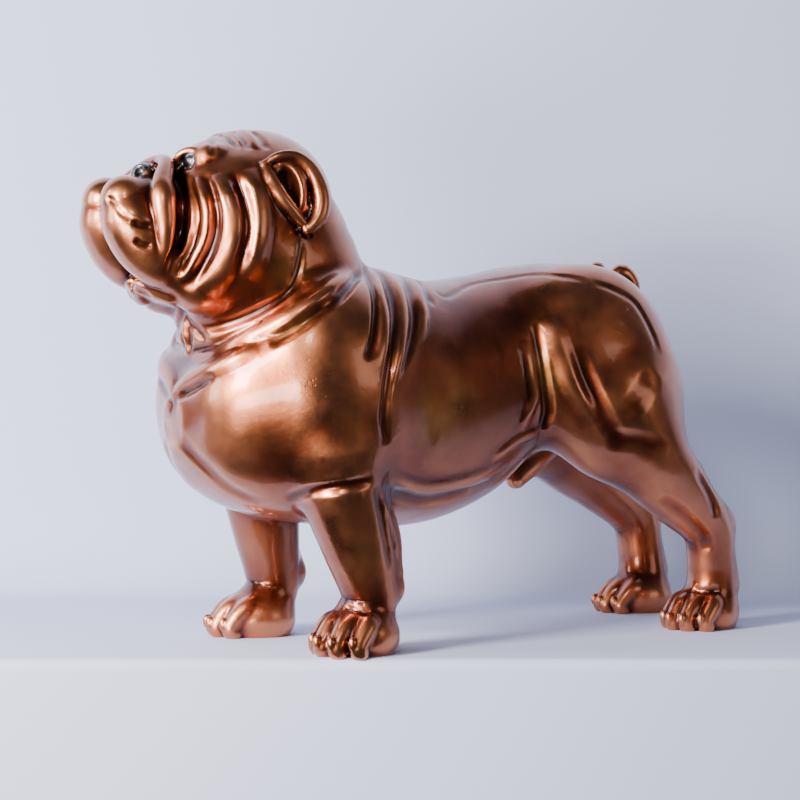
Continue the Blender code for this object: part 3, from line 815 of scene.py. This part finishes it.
def stood_on_flat_soles(mesh, low, high):
    """Cuts the paws off level at the ground, and sets the dog between two corners."""
    work = bmesh.new()
    work.from_mesh(mesh)
    everything = work.verts[:] + work.edges[:] + work.faces[:]
    bmesh.ops.bisect_plane(
        work, geom=everything, dist=1e-4, plane_co=(0, 0, 0), plane_no=(0, 0, 1), clear_inner=True
    )
    rims = [edge for edge in work.edges if edge.is_boundary]
    bmesh.ops.holes_fill(work, edges=rims, sides=0)
    finished = bpy.data.meshes.new("bulldog_bronze")
    work.to_mesh(finished)
    work.free()
    corners = points_of(finished)
    drawn_low = corners.min(0)
    share = (corners - drawn_low) / (corners.max(0) - drawn_low)
    placed = low + share * (high - low)
    finished.vertices.foreach_set("co", placed.astype(np.float32).ravel())
    finished.update()
    return finished


dog_mesh = stood_on_flat_soles(thinned(clay_mesh, MOST_TRIANGLES), body_low, body_high)
dog = object_from(dog_mesh, "bulldog_bronze")
dog_mesh.shade_smooth()
print("the dog has", sum(len(face.vertices) - 2 for face in dog_mesh.polygons), "triangles")

# %% [markdown]
# Bronze keeps its dark patina in the hollows and loses it on the high places, where hands
# and cloths rub it. The hollows are darkened also for the shade that falls in them, which is
# painted shade. Ambient occlusion nodes could find that shade, but they are slow and do not
# travel with the model, so the mesh itself is asked: a point that lies below the average of
# its neighbours is in a hollow, and one that lies above it is on a ridge. The answer, at a
# fine and at a broad scale, is kept on the mesh as two attributes.

# %% Hollows and ridges
# Rounds of averaging, and the relief in metres that counts as a full hollow or ridge
NARROW_LOOK = 6
WIDE_LOOK = 40
FINE_HOLLOW = 0.0010
FINE_RIDGE = 0.0007
BROAD_RELIEF = 0.0045


def relief_of(mesh, rounds):
    """How far each point stands above its neighbourhood, in metres. More rounds look wider."""
    points = points_of(mesh).astype(float)
    normals = normals_of(mesh)
    flat = np.empty(2 * len(mesh.edges), np.int32)
    mesh.edges.foreach_get("vertices", flat)
    one, other = flat.reshape(-1, 2).T
    count = np.bincount(one, minlength=len(points)) + np.bincount(other, minlength=len(points))
    smooth = points.copy()
    for _ in range(rounds):
        total = np.zeros_like(smooth)
        for axis in range(3):
            total[:, axis] += np.bincount(one, smooth[other, axis], len(points))
            total[:, axis] += np.bincount(other, smooth[one, axis], len(points))
        smooth = total / count[:, None]
    return ((points - smooth) * normals).sum(1)


def keep_on_mesh(mesh, name, values):
    attribute = mesh.attributes.new(name, "FLOAT", "POINT")
    attribute.data.foreach_set("value", values.astype(np.float32))


fine_relief = relief_of(dog_mesh, NARROW_LOOK)
broad_relief = relief_of(dog_mesh, WIDE_LOOK)
# How dark each hollow is painted: its dark patina, and the shade that falls in it as painted shade
hollow_patina_and_shade = (
    np.clip(-fine_relief / FINE_HOLLOW, 0, 1) * 0.45 + np.clip(-broad_relief / BROAD_RELIEF, 0, 1) * 0.75
)
ridge = np.clip(fine_relief / FINE_RIDGE, 0, 1) * 0.5 + np.clip(broad_relief / BROAD_RELIEF, 0, 1) * 0.6
keep_on_mesh(dog_mesh, "hollow_patina_and_shade", np.clip(hollow_patina_and_shade, 0, 1))
keep_on_mesh(dog_mesh, "ridge", np.clip(ridge, 0, 1))
print("hollow share", round(float((hollow_patina_and_shade > 0.3).mean()), 3))
print("ridge share", round(float((ridge > 0.3).mean()), 3))

# %% [markdown]
# Some places are finished apart. The eyes and the nose are blackened and polished, so they
# mirror the room like dark steel. In a few broad places on the flank, the cheek and the
# forelegs a golden highlight is painted into the colour, a painted reflection. Two more
# attributes say how near each point is to one of these places. Noise will break their edges
# up later.

# %% Blackened places and painted highlights
# Each place is (centre, radius), in the units of the drawing
DRAWN_MIDDLE = 29.6
BLACKENED = (((-258, -27, 497), 12), ((-248, 27, 489), 12), ((-302, 0, 487), 19))
# Places where a golden highlight is painted into the colour
GOLDEN_HIGHLIGHT_PLACES = (
    ((-22, -125, 246), 52),
    ((112, -105, 276), 34),
    ((-183, -85, 389), 34),
    ((-144, -140, 248), 30),
    ((-118, -130, 107), 30),
    ((-184, -115, 329), 28),
    ((-60, 128, 260), 50),
    ((150, 118, 290), 40),
)
drawn = points_of(dog_mesh) * 1000 + (DRAWN_MIDDLE, 0, 0)


def nearness(places, fading):
    """1 at the middle of each place, 0 beyond its radius, fading over a share of the radius."""
    near = np.zeros(len(drawn))
    for centre, radius in places:
        away = np.linalg.norm(drawn - centre, axis=1)
        near = np.maximum(near, np.clip((1 - away / radius) / fading, 0, 1))
    return near


blackened = nearness(BLACKENED, 0.2)
keep_on_mesh(dog_mesh, "blackened", blackened)
# Painted highlight: how near each point is to one of the golden highlight places
keep_on_mesh(dog_mesh, "painted_sheen", nearness(GOLDEN_HIGHLIGHT_PLACES, 0.9))
print(int((blackened > 0.5).sum()), "points on the eyes and the nose")

# %% [markdown]
# A finish is a tree of nodes, and the same few kinds come again and again: noise, a ramp that
# turns noise into a mask, and a mix of two colours. Each gets a short function here, so that
# the finish itself can be read from top to bottom afterwards.

# %% Helpers for nodes
def node(tree, kind, **settings):
    made = tree.nodes.new(kind)
    for name, value in settings.items():
        setattr(made, name, value)
    return made


def noise(tree, coordinates, scale, detail, stretch=(1, 1, 1)):
    mapping = node(tree, "ShaderNodeMapping")
    mapping.inputs["Scale"].default_value = stretch
    texture = node(tree, "ShaderNodeTexNoise")
    texture.inputs["Scale"].default_value = scale
    texture.inputs["Detail"].default_value = detail
    tree.links.new(coordinates, mapping.inputs["Vector"])
    tree.links.new(mapping.outputs["Vector"], texture.inputs["Vector"])
    return texture.outputs["Fac"]


def ramp(tree, value, *stops):
    made = node(tree, "ShaderNodeValToRGB")
    elements = made.color_ramp.elements
    while len(elements) < len(stops):
        elements.new(0.5)
    for element, (place, colour) in zip(elements, stops):
        element.position = place
        element.color = (*colour, 1) if isinstance(colour, tuple) else (colour, colour, colour, 1)
    tree.links.new(value, made.inputs["Fac"])
    return made.outputs["Color"]


def mixed(tree, share, first, second, blend_type="MIX"):
    made = node(tree, "ShaderNodeMix", data_type="RGBA", blend_type=blend_type)
    for source, socket in ((share, 0), (first, 6), (second, 7)):
        if isinstance(source, tuple):
            made.inputs[socket].default_value = (*source, 1)
        elif isinstance(source, (int, float)):
            made.inputs[socket].default_value = source
        else:
            tree.links.new(source, made.inputs[socket])
    return made.outputs[2]


def attribute(tree, name):
    return node(tree, "ShaderNodeAttribute", attribute_name=name).outputs["Fac"]


def bump(tree, height, strength, distance):
    made = node(tree, "ShaderNodeBump")
    made.inputs["Strength"].default_value = strength
    made.inputs["Distance"].default_value = distance
    tree.links.new(height, made.inputs["Height"])
    return made


print("helpers for nodes are ready")

# %% [markdown]
# The colour of the bronze is built up as the patina was: a red-brown stain in clouds over
# warm copper, streaks, broad golden patches that are painted highlights, paler ridges, and
# hollows that are nearly black from dark patina and painted shade. The eyes and the nose come
# last, since nothing wears them.

# %% Colour of the bronze
COPPER = (0.36, 0.082, 0.025)
RED_BROWN = (0.15, 0.028, 0.011)
# Nearly black, for dark patina and painted shade in the hollows
DARK_PATINA_AND_SHADE = (0.018, 0.006, 0.005)
# Gold of the painted highlights
HIGHLIGHT_GOLD = (0.62, 0.30, 0.080)
PALE_COPPER = (0.58, 0.20, 0.085)
BLACK_STEEL = (0.09, 0.085, 0.09)
NOTHING = (0, 0, 0)


def bronze_colour(tree, place):
    clouds = ramp(tree, noise(tree, place, 7, 5), (0.36, 0.0), (0.64, 1.0))
    streaks = ramp(tree, noise(tree, place, 26, 4, (1, 1, 0.35)), (0.35, 0.0), (0.75, 1.0))
    colour = mixed(tree, clouds, RED_BROWN, COPPER)
    colour = mixed(tree, mixed(tree, 0.35, NOTHING, streaks), colour, RED_BROWN)
    # Painted highlight: broad golden patches, their edges broken up by noise
    broken = ramp(tree, noise(tree, place, 16, 4), (0.38, 0.1), (0.62, 1.0))
    sheen_patches = mixed(tree, attribute(tree, "painted_sheen"), NOTHING, broken)
    colour = mixed(tree, sheen_patches, colour, HIGHLIGHT_GOLD)
    colour = mixed(tree, attribute(tree, "ridge"), colour, PALE_COPPER)
    # Hollows nearly black: dark patina, with painted shade over it
    hollow = ramp(tree, attribute(tree, "hollow_patina_and_shade"), (0.05, 0.0), (0.95, 0.92))
    colour = mixed(tree, hollow, colour, DARK_PATINA_AND_SHADE)
    return mixed(tree, attribute(tree, "blackened"), colour, BLACK_STEEL)


print("the rubbed gold gives back", round(HIGHLIGHT_GOLD[0] / COPPER[0], 1), "times the red of the copper")

# %% [markdown]
# Small noise in the gloss and in the bump keeps the highlights from looking like plastic, and
# a sparse field of dots makes the casting's pinholes, in patches as they come in real bronze.
# The glossy lacquer over everything is the shader's coat.

# %% Bronze
LACQUER = 0.8
LACQUER_ROUGHNESS = 0.10
GLOSSIEST = 0.26
DULLEST = 0.42
PINHOLE_SCALE = 170
PINHOLE_DEPTH = 0.0006
HAMMERING_DEPTH = 0.0012


def bronze_surface(tree, place):
    """Pinholes, and over them the faint unevenness of a surface worked by hand."""
    dots = node(tree, "ShaderNodeTexVoronoi", feature="F1")
    dots.inputs["Scale"].default_value = PINHOLE_SCALE
    tree.links.new(place, dots.inputs["Vector"])
    pinholes = ramp(tree, dots.outputs["Distance"], (0.10, 0.0), (0.20, 1.0))
    smooth_places = ramp(tree, noise(tree, place, 9, 2), (0.60, 1.0), (0.66, 0.0))
    height = mixed(tree, 1.0, pinholes, smooth_places, "LIGHTEN")
    pitted = bump(tree, height, 0.25, PINHOLE_DEPTH)
    worked = bump(tree, noise(tree, place, 55, 4), 0.35, HAMMERING_DEPTH)
    tree.links.new(pitted.outputs["Normal"], worked.inputs["Normal"])
    return worked.outputs["Normal"]


def patinated_bronze():
    material = bpy.data.materials.new("patinated_bronze")
    material.use_nodes = True
    tree = material.node_tree
    shader = tree.nodes["Principled BSDF"]
    shader.inputs["Metallic"].default_value = 1.0
    shader.inputs["Coat Weight"].default_value = LACQUER
    shader.inputs["Coat Roughness"].default_value = LACQUER_ROUGHNESS
    place = node(tree, "ShaderNodeTexCoord").outputs["Object"]
    roughness = ramp(tree, noise(tree, place, 30, 6), (0.3, GLOSSIEST), (0.7, DULLEST))
    tree.links.new(bronze_colour(tree, place), shader.inputs["Base Color"])
    tree.links.new(roughness, shader.inputs["Roughness"])
    tree.links.new(bronze_surface(tree, place), shader.inputs["Normal"])
    return material


dog_mesh.materials.append(patinated_bronze())
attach(dog, "root")
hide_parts("bulldog")
print("bronze with", len(dog_mesh.materials[0].node_tree.nodes), "nodes")

# %% [markdown]
# The studio: pale paper laid over a low table and run up a wall close behind the dog. At the
# front it hangs over the table's edge, just before the paws, so that polished bronze mirrors
# the dim room there and not a bright floor. It stands square to the camera, which looks at
# the dog's left side from 30 degrees towards its face. It is stage, not part of the statue,
# and the wall is solid paper, so that from behind it hides the dog.

# %% Paper on a table
VIEW_ANGLE = math.radians(30)
PAPER_WIDTH = 6.0
FRONT_EDGE = -0.19
EDGE_RADIUS = 0.012
WALL_PLACE = 0.46
BEND_RADIUS = 0.10
WALL_HEIGHT = 3.0
DROP = 1.2
EDGE_POINTS = 7
BEND_POINTS = 13
PAPER_COLOUR = (0.62, 0.68, 0.88, 1)
PAPER_ROUGHNESS = 0.85

profile = [(FRONT_EDGE - EDGE_RADIUS, -DROP)]
for angle in np.linspace(0, math.pi / 2, EDGE_POINTS):
    profile.append((FRONT_EDGE - EDGE_RADIUS * math.cos(angle), EDGE_RADIUS * (math.sin(angle) - 1)))
for angle in np.linspace(0, math.pi / 2, BEND_POINTS):
    place = WALL_PLACE - BEND_RADIUS * (1 - math.sin(angle))
    profile.append((place, BEND_RADIUS * (1 - math.cos(angle))))
profile.append((WALL_PLACE, WALL_HEIGHT))
paper = bmesh.new()
rows = [[paper.verts.new((x, y, z)) for x in (-PAPER_WIDTH / 2, PAPER_WIDTH / 2)] for y, z in profile]
for near, far in zip(rows, rows[1:]):
    paper.faces.new((near[0], near[1], far[1], far[0]))
paper.transform(Matrix.Rotation(-VIEW_ANGLE, 4, "Z"))
sheet_mesh = bpy.data.meshes.new("paper_sheet")
paper.to_mesh(sheet_mesh)
paper.free()
sheet_mesh.shade_smooth()
sheet = object_from(sheet_mesh, "paper_sheet")
sheet_material = bpy.data.materials.new("pale_paper")
sheet_material.use_nodes = True
paper_shader = sheet_material.node_tree.nodes["Principled BSDF"]
paper_shader.inputs["Base Color"].default_value = PAPER_COLOUR
paper_shader.inputs["Roughness"].default_value = PAPER_ROUGHNESS
sheet_mesh.materials.append(sheet_material)
print("paper", PAPER_WIDTH, "m wide,", round(WALL_PLACE - FRONT_EDGE, 2), "m deep")

# %% [markdown]
# Polished metal shows what it mirrors, so each soft box is drawn for the highlight that it
# leaves. The key box, to the left in front, lays the broad one on muzzle and shoulder. The low
# card catches the chest and the cheek from below, and the high box picks out the folds. A weak
# warm one from the right front keeps the haunch from going black, and the last one is for the
# wall alone. The room itself is kept dim.

# %% Lights
# Each soft box is (name, place, aim, width, height, watts, colour)
SOFT_BOXES = (
    ("key_box", (-2.1, -0.6, 0.95), (-0.15, 0, 0.3), 0.6, 0.8, 115, (1.0, 0.95, 0.96)),
    ("low_card", (-1.6, -0.95, 0.15), (-0.3, 0, 0.38), 0.9, 0.35, 24, (1.0, 0.93, 0.93)),
    ("high_box", (-1.5, -2.0, 1.7), (-0.15, 0, 0.3), 0.4, 0.4, 11, (1.0, 0.95, 0.93)),
    ("front_box", (1.6, -2.8, 0.9), (0.0, 0, 0.25), 1.5, 1.2, 9, (1.0, 0.88, 0.80)),
    ("wall_box", (-2.0, 0.5, 0.9), (-0.6, 0.5, 0.5), 0.5, 1.2, 24, (0.80, 0.87, 1.0)),
)
ROOM_COLOUR = (0.80, 0.84, 1.0, 1)
ROOM_STRENGTH = 0.06


def soft_box(name, place, aim, width, height, watts, colour):
    light = bpy.data.lights.new(name, "AREA")
    light.shape = "RECTANGLE"
    light.size = width
    light.size_y = height
    light.energy = watts
    light.color = colour
    lamp = bpy.data.objects.new(name, light)
    lamp.location = place
    lamp.rotation_euler = (Vector(aim) - Vector(place)).to_track_quat("-Z", "Y").to_euler()
    bpy.context.scene.collection.objects.link(lamp)


for box in SOFT_BOXES:
    soft_box(*box)
world = bpy.data.worlds.new("dim_room")
world.use_nodes = True
room = world.node_tree.nodes["Background"]
room.inputs["Color"].default_value = ROOM_COLOUR
room.inputs["Strength"].default_value = ROOM_STRENGTH
bpy.context.scene.world = world
print(len(bpy.data.lights), "lights")

# %% [markdown]
# The camera looks at the dog's left side from 30 degrees towards its face, low and from
# well back with a long lens, which is what keeps the near and the far paws so alike in size.

# %% Camera
# Lengths in metres, the lens and the sensor in millimetres
CAMERA_DISTANCE = 2.8
CAMERA_HEIGHT = 0.334
CAMERA_DOWN = math.radians(1.65)
LENS = 118.4
SENSOR_WIDTH = 36
AIM_SHIFT = DRAWN_MIDDLE / 1000

camera_data = bpy.data.cameras.new("photo_view")
camera_data.lens = LENS
camera_data.sensor_width = SENSOR_WIDTH
camera = bpy.data.objects.new("photo_view", camera_data)
camera.location = (
    -CAMERA_DISTANCE * math.sin(VIEW_ANGLE) - AIM_SHIFT,
    -CAMERA_DISTANCE * math.cos(VIEW_ANGLE),
    CAMERA_HEIGHT,
)
camera.rotation_euler = (math.pi / 2 - CAMERA_DOWN, 0, -VIEW_ANGLE)
bpy.context.scene.collection.objects.link(camera)
bpy.context.scene.camera = camera
print("camera at", [round(v, 3) for v in camera.location])
